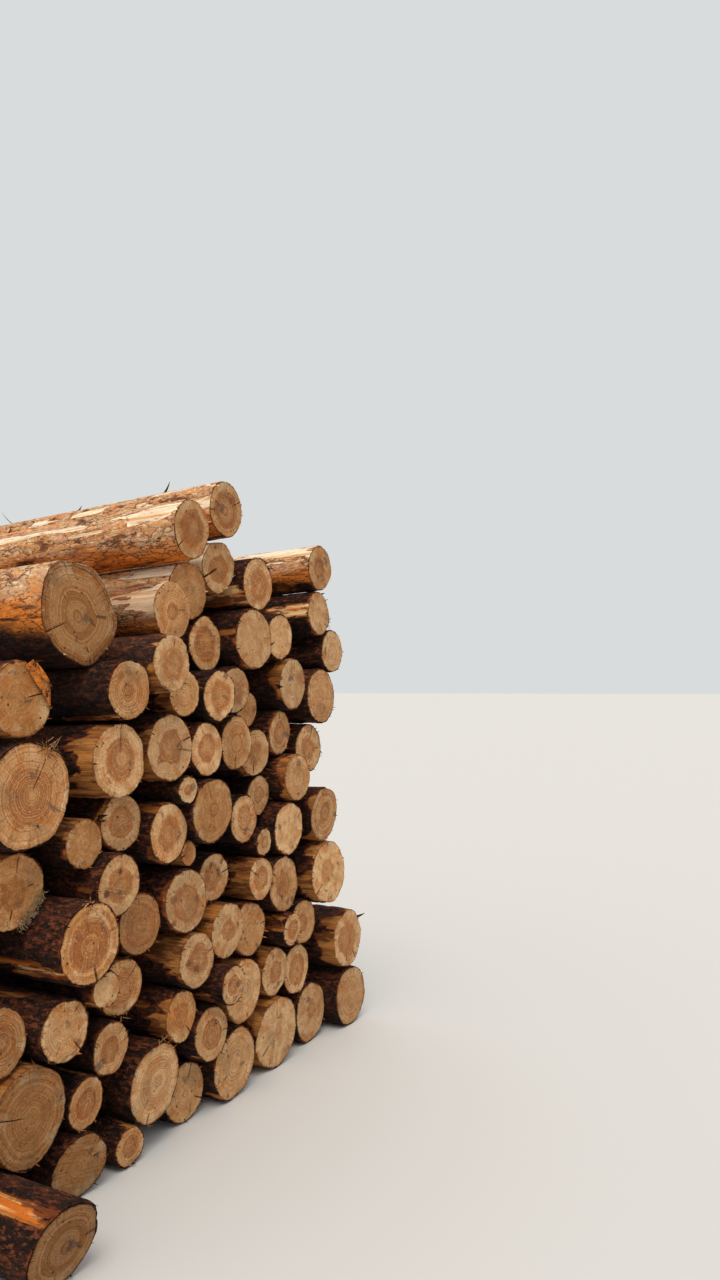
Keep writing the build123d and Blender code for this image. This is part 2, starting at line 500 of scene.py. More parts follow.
def add_chips(mesh, log, points, angles, along, peel):
    """Torn chips along the borders of the bare patches and at the sawn rim."""
    pool = np.flatnonzero((peel > 0.15) & (peel < 0.7) & (along > 0.02))
    if log.detail is HIDDEN:
        pool = pool[along[pool] < 0.6]
    count = min(log.detail["chips"], len(pool))
    for i in log.random.choice(pool, count, replace=False) if count else ():
        out = outwards(angles[i])
        across = log.pick(-0.4, 0.4) * -out[2]
        onwards = 1 if log.pick(0, 1) < 0.5 else -1
        way = unit(np.array((across, onwards, log.pick(-0.4, 0.4) * out[0])))
        size = (log.pick(0.015, 0.06), log.pick(0.006, 0.02))
        tones = (0.8 * (log.pick(0, 1) < 0.25), log.thin, out[2] * 0.5 + 0.5, log.pick(0, 1))
        lift, curl = log.pick(0.02, 0.3), log.pick(-0.25, 0.3)
        add_chip(mesh, log, points[i] - out * 0.003, out, way, size, lift, curl, tones)
    for _ in range(10):
        i = log.random.randint(0, log.detail["columns"])
        out = outwards(angles[i])
        way = unit(np.array((log.pick(-0.5, 0.5) * -out[2], -log.pick(0.2, 1), log.pick(-0.5, 0.5) * out[0])))
        size = (log.pick(0.006, 0.018), log.pick(0.0015, 0.005))
        tones = (0.9 * (log.pick(0, 1) < 0.5), log.thin, 0.6, log.pick(0, 1))
        lift, curl = log.pick(-0.1, 0.4), log.pick(-0.3, 0.3)
        add_chip(mesh, log, points[i] - out * 0.004, out, way, size, lift, curl, tones)


def bare_share(log, a, y, skin, length):
    """How bare each point is: at the butt and the top, in torn patches, and where LOOKS says so."""
    look = log.look
    ragged = layered(skin * (26, 3.5, 26), 3)
    reach = look["bare"] * 3.6 * (noise(skin * (8, 0.01, 8) + 3.1) - 0.3)
    near_end = step(-0.01, 0.03, reach - y + (ragged - 0.5) * (0.03 + 1.1 * look["bare"]))
    rear = step(-0.01, 0.03, reach * 0.6 - (length - y) + (ragged - 0.5) * 0.1)
    patches = layered(skin * (13, 2.6, 13) + 9.7, 4)
    strips = layered(skin * (30, 3.0, 30) + 21.3, 3)
    level = 0.78 - 0.08 * log.thin - 0.05 * log.thin * np.sin(a)
    level = level - 0.04 * step(0.5, 0.1, y) + 0.2 * (1 - look["torn"])
    torn = step(level - 0.02, level + 0.02, patches + 0.12 * (ragged - 0.5))
    torn = np.maximum(torn, step(level + 0.01, level + 0.04, strips + 0.1 * (ragged - 0.5)) * log.thin)
    left_over = step(0.5, 0.54, layered(skin * (24, 5, 24) + 31.9, 3) - 0.25 * step(0.12, 0, y))
    peel = np.maximum(np.maximum(near_end * (1 - left_over), rear), torn)
    for angle, half, start, stop in look["patches"]:
        turn = np.abs(wrapped(a - math.radians(angle))) / math.radians(half)
        past = np.maximum(start - y, y - stop) / 0.1
        peel = np.maximum(peel, FRESH * step(-0.1, 0.1, 2.2 * (0.5 - ragged) - np.maximum(turn - 1, past)))
    return peel


def bark_plates(log, skin):
    """How far bark stands out, how far inside its plate each point is, and a number for the plate."""
    bent = skin + 0.045 * (np.stack([noise(skin * 16 + k * 7.7) for k in range(3)], 1) - 0.5)
    border, tag = plates(bent * (30, 11, 30))
    relief = step(0.02, 0.22, border) * (0.65 + 0.7 * tag)
    small = layered(skin * (45, 16, 45) + 4.4, 2)
    return BARK * (1 - 0.45 * log.thin) * (0.4 + 0.65 * relief + 0.9 * (small - 0.5)), relief, tag


def swellings(log, a, y, length):
    """Low swellings where branches were."""
    swell = 0.0
    for _ in range(6):
        angle = log.pick(0, ALL_ROUND)
        spot = log.pick(0.25, length - 0.2)
        across = wrapped(a - angle) * log.radius / 0.03
        swell = swell + log.pick(0.002, 0.007) * np.exp(-(across**2 + ((y - spot) / 0.05) ** 2))
    return swell


def behind_face(log, row, end, inset, push):
    """A row of points drawn in towards the middle of an end, and pushed behind its face."""
    middle = log.ends[end][0]
    ring = row.copy()
    for axis in (0, 2):
        ring[:, axis] = middle[axis] + (ring[:, axis] - middle[axis]) * inset
    ring[:, 1] += push
    return ring


def add_bark(log, mesh):
    """The closed bark body of one log."""
    butt = log.ends[0][0]
    length = log.ends[1][0][1] - butt[1]
    columns = log.detail["columns"]
    along = spread_rows(log, length)
    centre, radius = axis_point(log, along)
    a = np.tile(np.arange(columns) * math.tau / columns, len(along))
    y = np.repeat(along, columns)
    skin = np.stack((np.cos(a) * log.radius, y, np.sin(a) * log.radius), 1) + log.seed
    wood = np.repeat(radius - BARK, columns) * outline(log, a)
    peel = bare_share(log, a, y, skin, length)
    height, relief, tag = bark_plates(log, skin)
    surface = wood + (1 - np.minimum(peel, 1)) * height + swellings(log, a, y, length) - 0.0004
    surface += 0.004 * (layered(skin * (3, 1.2, 3) + 1.7, 2) - 0.5)
    points = np.repeat(centre, columns, axis=0)
    points[:, 0] += surface * np.cos(a)
    points[:, 2] += surface * np.sin(a)
    points[:, 1] += end_shift(log, points[:, 0] - butt[0], points[:, 2] - butt[2]) * step(0.3, 0, y)
    add_chips(mesh, log, points, a, y, peel)
    points[:columns, 1] += 0.002
    points[-columns:, 1] -= 0.002
    front = behind_face(log, points[:columns], 0, 0.93, 0.006)
    back = behind_face(log, points[-columns:], 1, 0.93, -0.006)
    points = np.concatenate((front, points, back, [front.mean(0)], [back.mean(0)]))

    def whole(*values):
        """The values of every point, with those of the closed ends and the poles."""
        values = np.stack(values, 1)
        return np.concatenate((values[:columns], values, values[-columns:], values[:1], values[-1:]))

    kind = whole(peel, relief, np.full_like(peel, log.thin))
    kind[:columns] = 0  # painted shade: the ring of bark behind the sawn face's rim takes the dark colour of deep crevices, and no bare wood
    # how high each point sits round the log, less the shadow look, for the painted light and shade of the
    # bark
    more = whole(np.sin(a) * 0.5 + 0.5 - log.look["shadow"], tag, np.full_like(peel, log.seed))
    data = {"skin": whole(*skin.T), "kind": kind, "more": more}
    mesh.add(points, *grid_faces(len(along) + 2, columns), data)


# Sawn faces

def end_shift(log, x, z):
    """How far the butt's sawn face lies behind its flat place, at each point across it."""
    slant_x, slant_z = log.look["slant"]
    shift = slant_x * x + slant_z * z
    if log.look["step"]:
        where, turn = log.look["step"]
        side = (x * math.cos(turn) + z * math.sin(turn)) / log.radius
        shift = shift + 0.004 * step(where - 0.03, where + 0.03, side)
    return shift


def with_cut(angles, turn, width):
    """The same angles, with three close together at a crack and none just beside them."""
    angles = angles[np.abs(wrapped(angles - turn)) > width * 1.5]
    return np.sort(np.concatenate((angles, [turn - width, turn, turn + width])))


def cut_lines(x, z, cut, thick, wood):
    """For each point, how far it is along a crack and beside it, and how far within its length."""
    turn, start, stop = cut
    cos, sin = math.cos(math.radians(turn)), math.sin(math.radians(turn))
    u = (x * cos + z * sin) / wood
    v = (z * cos - x * sin) / thick
    return np.stack((u, v, np.minimum(u - start, stop + 0.2 - u)), 1)


def add_end(log, mesh, which):
    """A closed disc of sawn wood at the butt (0) or the top (1) of a log."""
    look = log.look
    centre, radius = log.ends[which]
    wood = radius - BARK
    angles = np.arange(FACE_COLUMNS[which]) * math.tau / FACE_COLUMNS[which]
    cuts = [key for key in CUTS if which == 0 and look[key]]
    for key in cuts:
        angles = with_cut(angles, math.radians(look[key][0]) % math.tau, CUT_HALF / wood)
    columns = len(angles)
    shape = outline(log, angles) * wood - (0.0012 + look["rim"] if which == 0 else -0.0006)
    circle = np.stack((np.cos(angles), np.sin(angles), np.full_like(angles, log.seed)), 1)
    chips = noise(circle * (wood * 110, wood * 110, 1) + 5) - 0.45
    shape = shape + np.where(chips > 0, 0.004, 0.009) * chips * (which == 0)
    # The face, ring after ring, and the back of the disc
    pith = np.array((log.pick(-0.12, 0.12), log.pick(-0.12, 0.12))) * wood
    rows = []
    for q in FACE_RINGS[which]:
        x = pith[0] * (1 - q) + shape * q * np.cos(angles)
        z = pith[1] * (1 - q) + shape * q * np.sin(angles)
        rows.append(np.stack((x, z, np.full(columns, q)), 1))
    rows += [rows[-1] * (inset, inset, 1) for inset in (0.985, 0.95, 0.5)]
    x, z, q = np.concatenate(rows).T
    if which == 0:
        depth = end_shift(log, x, z)
    else:
        depth = 0.03 * (x * log.pick(-1, 1) + z * log.pick(-1, 1))
    depth = depth + 0.003 * (noise(np.stack((x * 30, z * 30, np.full_like(x, log.seed)), 1)) - 0.5)
    if cuts:
        turn, start, stop = look[cuts[-1]]
        deep, thick = CUTS[cuts[-1]]
        here = np.abs(np.tile(angles, len(rows)) - math.radians(turn) % math.tau) < 0.0005
        depth = depth + deep * here * (step(start - 0.08, start + 0.02, q) * (q <= stop + 0.001))
    back = np.repeat([0] * (len(rows) - 4) + [0.0006, 0.004, 0.02, 0.02], columns)
    side = 1 if which == 0 else -1
    points = np.stack((centre[0] + x, centre[1] + side * (depth + back), centre[2] + z), 1)
    front_pole = (centre[0] + pith[0], points[:columns, 1].mean(), centre[2] + pith[1])
    back_pole = (centre[0], points[-columns:, 1].mean(), centre[2])
    quads, triangles = grid_faces(len(rows), columns)
    if which:
        quads, triangles = quads[:, ::-1], triangles[:, ::-1]
    # What the material needs to know
    turn = log.pick(0, ALL_ROUND)
    cos, sin = math.cos(turn), math.sin(turn)
    x = np.concatenate((x, (pith[0], 0)))
    z = np.concatenate((z, (pith[1], 0)))
    q = np.concatenate((q, (0, 1)))
    lines = np.tile((0.0, 1.0, -1.0), (len(q), 1))
    if cuts:
        lines = cut_lines(x, z, look[cuts[-1]], thick, wood)
    data = {
        "cut": np.stack((x * cos + z * sin, z * cos - x * sin, np.full_like(x, log.seed + 9 * which)), 1),
        "grain": np.stack((q, q * wood, np.full_like(x, look["streaks"])), 1),
        "tones": np.tile((look["heart"], look["tone"], look["rings"]), (len(q), 1)),
        "extra": np.tile((look["sharp"], look["knots"], look["shade"]), (len(q), 1)),
        "lines": lines,
    }
    mesh.add(np.concatenate((points, [front_pole, back_pole])), quads, triangles, data)


# Materials

def paint(code):
    """A colour written as six hex digits, as linear light."""
    channels = [int(code[i: i + 2], 16) / 255 for i in (0, 2, 4)]
    return [c / 12.92 if c < 0.04 else ((c + 0.055) / 1.055) ** 2.4 for c in channels] + [1]


class Shader:
    """A procedural material, with short names for the nodes it is made of."""

    def __init__(self, name, rough):
        self.material = bpy.data.materials.new(name)
        self.material.use_nodes = True
        self.tree = self.material.node_tree
        self.surface = self.tree.nodes["Principled BSDF"]
        self.surface.inputs["Specular IOR Level"].default_value = 0.25
        self.surface.inputs["Roughness"].default_value = rough

    def node(self, kind, values, result=0, **settings):
        """A new node. Its inputs are plain values or other nodes' results."""
        made = self.tree.nodes.new(kind)
        for key, value in settings.items():
            setattr(made, key, value)
        for key, value in values.items():
            if isinstance(value, bpy.types.NodeSocket):
                self.tree.links.new(value, made.inputs[key])
            else:
                made.inputs[key].default_value = value
        return made.outputs[result]

    def data(self, name):
        return self.node("ShaderNodeAttribute", {}, "Vector", attribute_name=name)

    def split(self, vector):
        made = self.tree.nodes.new("ShaderNodeSeparateXYZ")
        self.tree.links.new(vector, made.inputs[0])
        return made.outputs[:3]

    def math(self, kind, a, b=0.0, c=0.0):
        return self.node("ShaderNodeMath", {0: a, 1: b, 2: c}, operation=kind)

    def times(self, a, b):
        return self.math("MULTIPLY", a, b)

    def madd(self, a, b, c):
        """a times b, plus c."""
        return self.math("MULTIPLY_ADD", a, b, c)

    def total(self, first, *others):
        """The sum of values, each given with its weight."""
        result = self.times(*first)
        for value, weight in others:
            result = self.madd(value, weight, result)
        return result

    def swing(self, value):
        """A value around a half, moved to lie around nothing."""
        return self.math("SUBTRACT", value, 0.5)

    def flip(self, value):
        return self.math("SUBTRACT", 1.0, value)

    def step(self, low, high, value):
        """0 below low, 1 above high and smooth between."""
        values = {"Value": value, "From Min": low, "From Max": high}
        return self.node("ShaderNodeMapRange", values, interpolation_type="SMOOTHSTEP")

    def fade(self, low, high, value):
        """1 below low, 0 above high and smooth between."""
        return self.flip(self.step(low, high, value))

    def scaled(self, vector, by, plus=(0, 0, 0)):
        return self.node("ShaderNodeVectorMath", {0: vector, 1: by, 2: plus}, operation="MULTIPLY_ADD")

    def noise(self, vector, stretch, detail=3.0, rough=0.5, shift=(0, 0, 0), result=0):
        place = self.scaled(vector, stretch, shift)
        values = {"Vector": place, "Scale": 1, "Detail": detail, "Roughness": rough}
        return self.node("ShaderNodeTexNoise", values, result)

    def cells(self, vector, result="Distance", **settings):
        return self.node("ShaderNodeTexVoronoi", {"Vector": vector, "Scale": 1}, result, **settings)

    def mix(self, share, a, b, kind="MIX"):
        values = {0: share, 6: a, 7: b}
        return self.node("ShaderNodeMix", values, 2, data_type="RGBA", blend_type=kind)

    def blend(self, share, first, second):
        """From one colour to another, both written as hex digits."""
        return self.mix(share, paint(first), paint(second))

    def tint(self, colour, code, where, share=None):
        """A colour with another one, written as hex digits, laid over it where a mask says."""
        if share is not None:
            where = self.times(where, share)
        return self.mix(where, colour, paint(code))

    def layers(self, colour, *layers):
        """A colour with others laid over it in turn, each as tint wants them."""
        for layer in layers:
            colour = self.tint(colour, *layer)
        return colour

    def finish(self, colour, height, distance):
        """Joins the colour and the fine relief to the surface."""
        self.tree.links.new(colour, self.surface.inputs["Base Color"])
        bump = self.node("ShaderNodeBump", {"Height": height, "Distance": distance, "Strength": 1.0})
        self.tree.links.new(bump, self.surface.inputs["Normal"])
        return self.material


def wood_tones(s, heart, tone, sharp):
    """Sapwood and heartwood, torn pale fibres towards the rim, and orange resin."""
    light = s.step(0.32, 0.66, s.cloud)
    pale = s.mix(light, s.blend(tone, "c2976a", "a8703a"), s.blend(tone, "e9cca4", "cd9456"))
    dark = s.mix(light, s.blend(tone, "9e673f", "895026"), s.blend(tone, "bf8a58", "ae7038"))
    reach = s.madd(s.soft, 0.55, s.q)
    reach = s.madd(s.swing(s.sector), 0.5, reach)
    soft_edge = s.madd(sharp, -0.06, 0.08)
    inside = s.step(s.math("SUBTRACT", heart, soft_edge), s.math("ADD", heart, soft_edge), reach)
    inside = s.times(s.flip(inside), s.math("GREATER_THAN", heart, 0.05))
    middle = s.times(s.fade(0.05, 0.4, reach), 0.35)
    colour = s.mix(inside, pale, s.mix(middle, dark, pale))
    fibres = s.noise(s.cut, (12, 12, 1), 5, 0.6, (4, 4, 9))
    torn = s.times(s.step(0.5, 0.64, fibres), s.step(0.5, 0.9, s.q))
    colour = s.tint(colour, "f0d8b4", torn, 0.65)
    resin = s.noise(s.cut, (15, 15, 1), 5, 0.55, (2, 9, 4))
    resin = s.times(s.step(0.52, 0.62, resin), s.step(0.25, 0.6, s.q))
    colour = s.tint(colour, "bd6f26", resin, 0.55)
    edge = s.fade(0, 0.06, s.math("ABSOLUTE", s.math("SUBTRACT", reach, heart)))
    edge = s.times(s.times(edge, s.step(0.38, 0.62, s.sector)), s.madd(sharp, 0.5, 0.12))
    return s.tint(colour, "9c5018", edge), torn


def growth_rings(s, colour, ring, rings):
    """Growth rings of uneven width."""
    warped = s.madd(s.soft, 0.02, ring)
    warped = s.madd(s.swing(s.cloud), 0.004, warped)
    seed = s.split(s.cut)[2]
    for scale, strength in ((330.0, 0.95), (95.0, 0.3)):
        place = s.node("ShaderNodeCombineXYZ", {0: s.times(warped, scale), 1: seed, 2: 0.0})
        band = s.noise(place, (1, 1, 1), 1)
        late = s.times(s.times(s.step(0.46, 0.66, band), rings), strength)
        colour = s.tint(colour, "74421f", late, s.step(0.25, 0.65, s.cloud))
        colour = s.tint(colour, "e0b98c", s.fade(0.36, 0.46, band), s.times(rings, 0.34))
    return colour


def saw_marks(s, colour, streaks):
    """Saw marks across the face, and fibres that run out to the rim."""
    marks = s.noise(s.cut, (240, 9, 1), 4, 0.65)
    coarse = s.noise(s.cut, (70, 4, 1), 3, 0.6, (5, 5, 5))
    colour = s.tint(colour, "e6caa0", s.step(0.5, 0.72, marks), s.madd(streaks, 0.5, 0.15))
    colour = s.tint(colour, "865430", s.step(0.52, 0.75, coarse), s.madd(streaks, 0.4, 0.02))
    colour = s.tint(colour, "7c4a22", s.step(0.5, 0.68, s.rays), s.times(s.step(0.35, 1.0, s.q), 0.75))
    return colour, marks, coarse


def face_dirt(s, colour, knots):
    """Weathering and dirt, holes, knots, short checks and the dark rim."""
    colour = s.layers(
        colour,
        ("7c6248", s.step(0.54, 0.7, s.noise(s.cut, (8, 8, 1), 5, 0.5, (7, 2, 5))), 0.36),
        ("57504a", s.step(0.63, 0.69, s.noise(s.cut, (24, 15, 1), 4, 0.5, (8, 8, 1))), 0.65),
        ("64401f", s.step(0.54, 0.7, s.grit), 0.65),
        ("f2d6ae", s.fade(0.3, 0.42, s.grit), 0.6),
    )
    hole = s.cells(s.scaled(s.cut, (30, 30, 1)))
    hole = s.times(s.fade(0.08, 0.19, hole), s.step(0.48, 0.6, s.cloud))
    colour = s.tint(colour, "2b150b", hole, 0.9)
    knot = s.math("ADD", s.cells(s.scaled(s.cut, (13, 13, 1))), s.times(s.swing(s.cloud), 0.5))
    knot = s.times(s.fade(0.1, 0.22, knot), knots)
    colour = s.tint(colour, "4a2416", knot, 0.85)
    check = s.math("ABSOLUTE", s.swing(s.noise(s.around, (3.4, 3.4, 1), 2, 0.5, (1, 5, 8))))
    check = s.fade(0.002, 0.008, s.times(check, s.q))
    where = s.step(0.61, 0.64, s.noise(s.cut, (17, 17, 1), 2, 0.5, (5, 1, 1)))
    check = s.times(s.times(check, where), s.step(0.25, 0.5, s.q))
    colour = s.tint(colour, "3c200f", check, 0.7)
    rim = s.step(0.95, 1.0, s.madd(s.swing(s.rays), 0.14, s.q))
    return s.tint(colour, "6b4020", rim, 0.6)


def sawn_material():
    s = Shader("sawn_wood", 0.85)
    s.cut, grain, tones, extra, lines = (s.data(n) for n in ("cut", "grain", "tones", "extra", "lines"))
    s.q, ring, streaks = s.split(grain)
    heart, tone, rings = s.split(tones)
    sharp, knots, shade = s.split(extra)
    s.soft = s.swing(s.noise(s.cut, (9, 9, 1)))
    s.cloud = s.noise(s.cut, (22, 22, 1), 5, 0.65, (3, 3, 3))
    s.grit = s.noise(s.cut, (150, 150, 1), 4, 0.7, (6, 1, 2))
    s.around = s.node("ShaderNodeVectorMath", {0: s.scaled(s.cut, (1, 1, 0))}, operation="NORMALIZE")
    s.sector = s.noise(s.around, (2.2, 2.2, 1), 3, 0.6, (9, 4, 3))
    s.rays = s.noise(s.around, (24, 24, 1), 5, 0.75, (0, 0, 3))
    colour, torn = wood_tones(s, heart, tone, sharp)
    colour = growth_rings(s, colour, ring, rings)
    colour, marks, coarse = saw_marks(s, colour, streaks)
    colour = face_dirt(s, colour, knots)
    # Cracks
    _, v, within = s.split(lines)
    crack = s.fade(0.0004, 0.0018, s.math("ABSOLUTE", s.madd(s.soft, 0.012, v)))
    crack = s.times(crack, s.step(0, 0.06, within))
    colour = s.tint(colour, "120904", crack, 0.95)
    # Each log its own brightness
    level = s.node("ShaderNodeCombineXYZ", {0: shade, 1: shade, 2: shade})
    colour = s.mix(1.0, colour, s.scaled(level, (0.93, 0.81, 0.66)), "MULTIPLY")
    height = s.total((s.rays, 0.35), (marks, 0.5), (coarse, 0.6), (s.grit, 0.4), (torn, 0.5), (crack, -2.0))
    return s.finish(colour, height, 0.004)


def dark_plates(s, relief, seed):
    """Dark, rough bark low in the stack, with painted shade on the logs' undersides and in the low crevices.
    """
    plate = s.blend(s.step(0.2, 0.8, s.pick), "27130c", "442114")
    plate = s.layers(
        plate,
        ("33211a", s.step(0.5, 0.75, s.broad)),
        ("7a3a1a", s.step(0.54, 0.68, s.shred), 0.8),
        ("8c4a26", s.step(0.54, 0.68, s.fine), 0.7),
        ("8a6242", s.step(0.6, 0.72, s.grit), 0.6),
        ("120805", s.fade(0.32, 0.46, s.fine), 0.85),
    )
    # dark seams between the plates, and painted shade in the low crevices where the relief sinks
    gap = s.times(s.fade(0, 0.08, s.border), s.step(0.45, 0.65, s.broad))
    gap = s.math("MAXIMUM", s.times(gap, 0.6), s.fade(0, 0.35, relief))
    plate = s.layers(
        plate,
        ("0d0603", gap, 0.75),
        ("844626", s.step(0.52, 0.6, s.scale), 0.6),
        ("0e0604", s.fade(0.38, 0.5, s.blot), 0.75),
    )
    own = s.madd(s.math("FRACT", s.times(seed, 0.71)), 0.65, 0.6)  # some logs are browner than others
    own = s.times(own, s.madd(s.step(0.1, 0.7, s.up), 0.6, 0.45))  # painted shade: the undersides are darker
    return s.node("ShaderNodeVectorMath", {0: plate, 3: own}, operation="SCALE")


def thin_flakes(s, plate):
    """Thin orange flakes high in the stack, bright on top as painted sunlight, torn underneath, and dark at
    the bottom as painted shade, with dark seams.
    """
    flake = s.blend(s.step(0.35, 0.65, s.broad), "f0a05a", "ffcc90")
    flake = s.layers(
        flake,
        ("eac6a2", s.step(0.55, 0.6, s.pick), 0.5),
        ("c2621f", s.step(0.5, 0.6, s.scale), 0.65),
        ("fadcb4", s.fade(0.36, 0.44, s.scale), 0.75),
        ("ba652e", s.step(0.6, 0.68, s.shred), 0.55),
        ("b05e2c", s.step(0.53, 0.66, s.fine), 0.5),
        ("f8dcb8", s.step(0.55, 0.68, s.grit), 0.6),
        ("6e3012", s.step(0.56, 0.62, s.blot), 0.8),
    )
    # painted light and shade: the upper side takes the bright flakes as painted sunlight; below lies torn
    # orange bark, and lowest the dark plate colour as painted shade
    torn = s.blend(s.step(0.32, 0.48, s.shred), "5c2a0e", "f68e34")
    torn = s.mix(s.times(s.step(-0.08, 0.24, s.turned_up), s.step(0.34, 0.48, s.broad)), plate, torn)
    flake = s.mix(s.sunlit, torn, flake)
    seam = s.fade(0.01, 0.09, s.madd(s.swing(s.grit), 0.12, s.border))
    seam = s.times(seam, s.step(0.44, 0.56, s.total((s.broad, 0.5), (s.shred, 0.5))))
    flake = s.tint(flake, "42200f", seam, 0.75)
    return s.tint(flake, "2e140a", s.fade(0.34, 0.4, s.fine), 0.9)


def bare_wood(s, peel, thin, stain):
    """Bare wood: streaks along the log, with stains and shreds of inner bark."""
    bare = s.blend(s.step(0.36, 0.64, s.wide), "bd8244", "84491c")
    bare = s.tint(bare, "5a2c12", s.step(0.5, 0.6, stain), 0.85)
    bare = s.tint(bare, "c8741f", s.fade(0.36, 0.46, stain), 0.6)
    # painted sunlight: bare wood on the upper side of thin-barked logs is cream and near white
    sunny = s.blend(s.step(0.48, 0.7, s.wide), "fdeccc", "e8b578")
    sunny = s.tint(sunny, "b8642a", s.step(0.56, 0.64, stain), 0.85)
    bare = s.mix(s.times(thin, s.sunlit), bare, sunny)
    fresh = s.blend(s.step(0.42, 0.58, s.wide), "f8d092", "c9691d")
    fresh = s.tint(fresh, "6e2f10", s.step(0.5, 0.57, stain), 0.9)
    fresh = s.tint(fresh, "4a1e0c", s.step(0.55, 0.62, s.shred), 0.85)
    bare = s.mix(s.times(s.step(1.05, 1.2, peel), s.flip(s.times(thin, 0.8))), bare, fresh)
    bare = s.tint(bare, "643618", s.step(0.5, 0.68, s.fibre), 0.55)
    return s.tint(bare, "3e1f10", s.step(0.6, 0.72, s.grit), 0.6)


def bark_material():
    s = Shader("bark", 0.9)
    skin, kind, more = (s.data(n) for n in ("skin", "kind", "more"))
    peel, relief, thin = s.split(kind)
    s.up, _, seed = s.split(more)
    s.fine = s.noise(skin, (75, 26, 75), 5, 0.65)
    s.grit = s.noise(skin, (190, 90, 190), 3, 0.6)
    s.broad = s.noise(skin, (9, 4, 9), 4, 0.55)
    s.shred = s.noise(skin, (42, 7, 42), 5, 0.6, (2, 5, 1))
    s.scale = s.noise(skin, (64, 34, 64), 5, 0.7, (8, 1, 5))
    s.blot = s.noise(skin, (20, 8, 20), 6, 0.7, (7, 7, 2))
    s.fibre = s.noise(skin, (170, 4, 170), 5, 0.65)
    s.wide = s.noise(skin, (44, 2.5, 44), 5, 0.65, (4, 4, 4))
    stain = s.noise(skin, (24, 6, 24), 5, 0.65, (1, 6, 2))
    warp = s.noise(skin, (34, 16, 34), result="Color")
    bent = s.scaled(warp, (1.6, 1.6, 1.6), s.scaled(skin, (44, 17, 44)))
    s.border = s.cells(bent, feature="DISTANCE_TO_EDGE")
    s.pick = s.split(s.cells(bent, "Color"))[0]
    # how far each point faces up, for the painted sunlight on the upper sides and the painted shade
    # underneath
    s.turned_up = s.madd(s.swing(s.broad), 0.6, s.up)
    s.sunlit = s.step(0.3, 0.55, s.turned_up)
    plate = dark_plates(s, relief, seed)
    colour = s.mix(thin, plate, thin_flakes(s, plate))
    bare = bare_wood(s, peel, thin, stain)
    # The border of the bare wood
    rough_edge = s.madd(s.swing(s.fine), 0.9, peel)
    mask = s.step(0.46, 0.54, rough_edge)
    band = s.times(s.step(0.1, 0.4, rough_edge), s.flip(mask))
    band = s.times(band, s.step(0.3, 0.55, stain))
    colour = s.tint(colour, "9c4614", band, 0.85)
    colour = s.mix(mask, colour, bare)
    lichen = s.blend(s.step(0.35, 0.7, s.fine), "7a6248", "c4aa86")
    colour = s.mix(s.step(1.6, 2.0, peel), colour, lichen)
    flakes = (s.step(0.4, 0.56, s.scale), 0.5)
    height = s.total((s.step(0, 0.16, s.border), 0.3), (s.fine, 1.1), (s.grit, 0.3), (s.shred, 0.5), flakes)
    low = s.total((s.wide, 0.3), (s.fibre, 0.3))
    height = s.node("ShaderNodeMix", {0: mask, 2: height, 3: low}, data_type="FLOAT")
    return s.finish(colour, height, 0.007)


# Loose bits

def add_twig(mesh, log, angle, place, length, lean, spread):
    """A torn splinter that stands on a log, at an angle round it and a distance from its butt."""
    centre, radius = axis_point(log, np.array((place,)))
    out = outwards(math.radians(angle))
    along = unit(np.array((spread * -out[2], lean, spread * out[0])))
    base = centre[0] + out * (radius[0] - 0.006)
    tones = (0.0, float(log.pick(0, 1) < 0.6), 0.3, 0.5)
    add_chip(mesh, log, base, out, along, (length, 0.011), 0.55, log.pick(-0.6, 0.5), tones)


def add_litter(mesh, log, angle, count, size, reach, inner, bare):
    """A tuft of needles, or of pale lichen, caught on the rim of a butt."""
    for _ in range(count):
        out = outwards(math.radians(angle + log.pick(-reach, reach)))
        base = log.ends[0][0] + out * log.radius * log.pick(inner, 1.02) + (0, log.pick(-0.004, 0.02), 0)
        along = unit(np.array((log.pick(-1, 1), log.pick(-0.7, 0.1), log.pick(-1, 1))))
        side = unit(np.cross(along, (0.3, 1.0, 0.2)))
        length = size * log.pick(0.5, 1.2)
        tones = (bare, float(log.pick(0, 1) < 0.6), 0.9, log.pick(0, 1))
        width, lift = log.pick(0.0015, 0.004), log.pick(-0.2, 0.2)
        add_chip(mesh, log, base, side, along, (length, width), lift, 0.2, tones)


def add_strip(mesh, log, angle, turn, length, width):
    """A strip of torn wood that hangs from the rim across the sawn face."""
    base = log.ends[0][0] + outwards(math.radians(angle)) * log.radius * 0.93
    base[1] -= 0.004
    along = outwards(math.radians(turn))
    out = np.array((0, -1.0, 0))
    add_chip(mesh, log, base, out, along, (length, width), 0.16, -0.14, (0.0, 0.8, 0.2, 0.5))


# Angle, distance from the butt, length, and how it leans along the log and round it
TWIGS = {
    ("course_10_top", 2): (
        (95, 0.3, 0.05, -1, 0.3), (80, 0.42, 0.06, 1, -0.3), (88, 0.78, 0.03, -0.8, 0),
        (86, 1.15, 0.07, 1, 0.3), (84, 1.2, 0.05, -0.9, 0.3),
    ),
    ("course_10_top", 0): ((110, 0.9, 0.04, -1, 0.2), (100, 1.6, 0.05, 0.9, 0.2)),
    ("course_08", 0): ((80, 0.5, 0.05, 0.9, 0.2),),
}
# Angle, count, size, how far round it spreads, how far in it starts, and what it is
LITTER = {
    ("course_06", 4): (58, 60, 0.05, 17, 0.86, 0),
    ("course_05", 2): (-45, 330, 0.013, 36, 0.72, LICHEN),
    ("course_03", 6): (-85, 12, 0.03, 20, 0.86, 0),
    ("course_04", 5): (88, 16, 0.035, 10, 0.92, 0),
    ("course_02", 2): (60, 14, 0.04, 20, 0.86, 0),
}
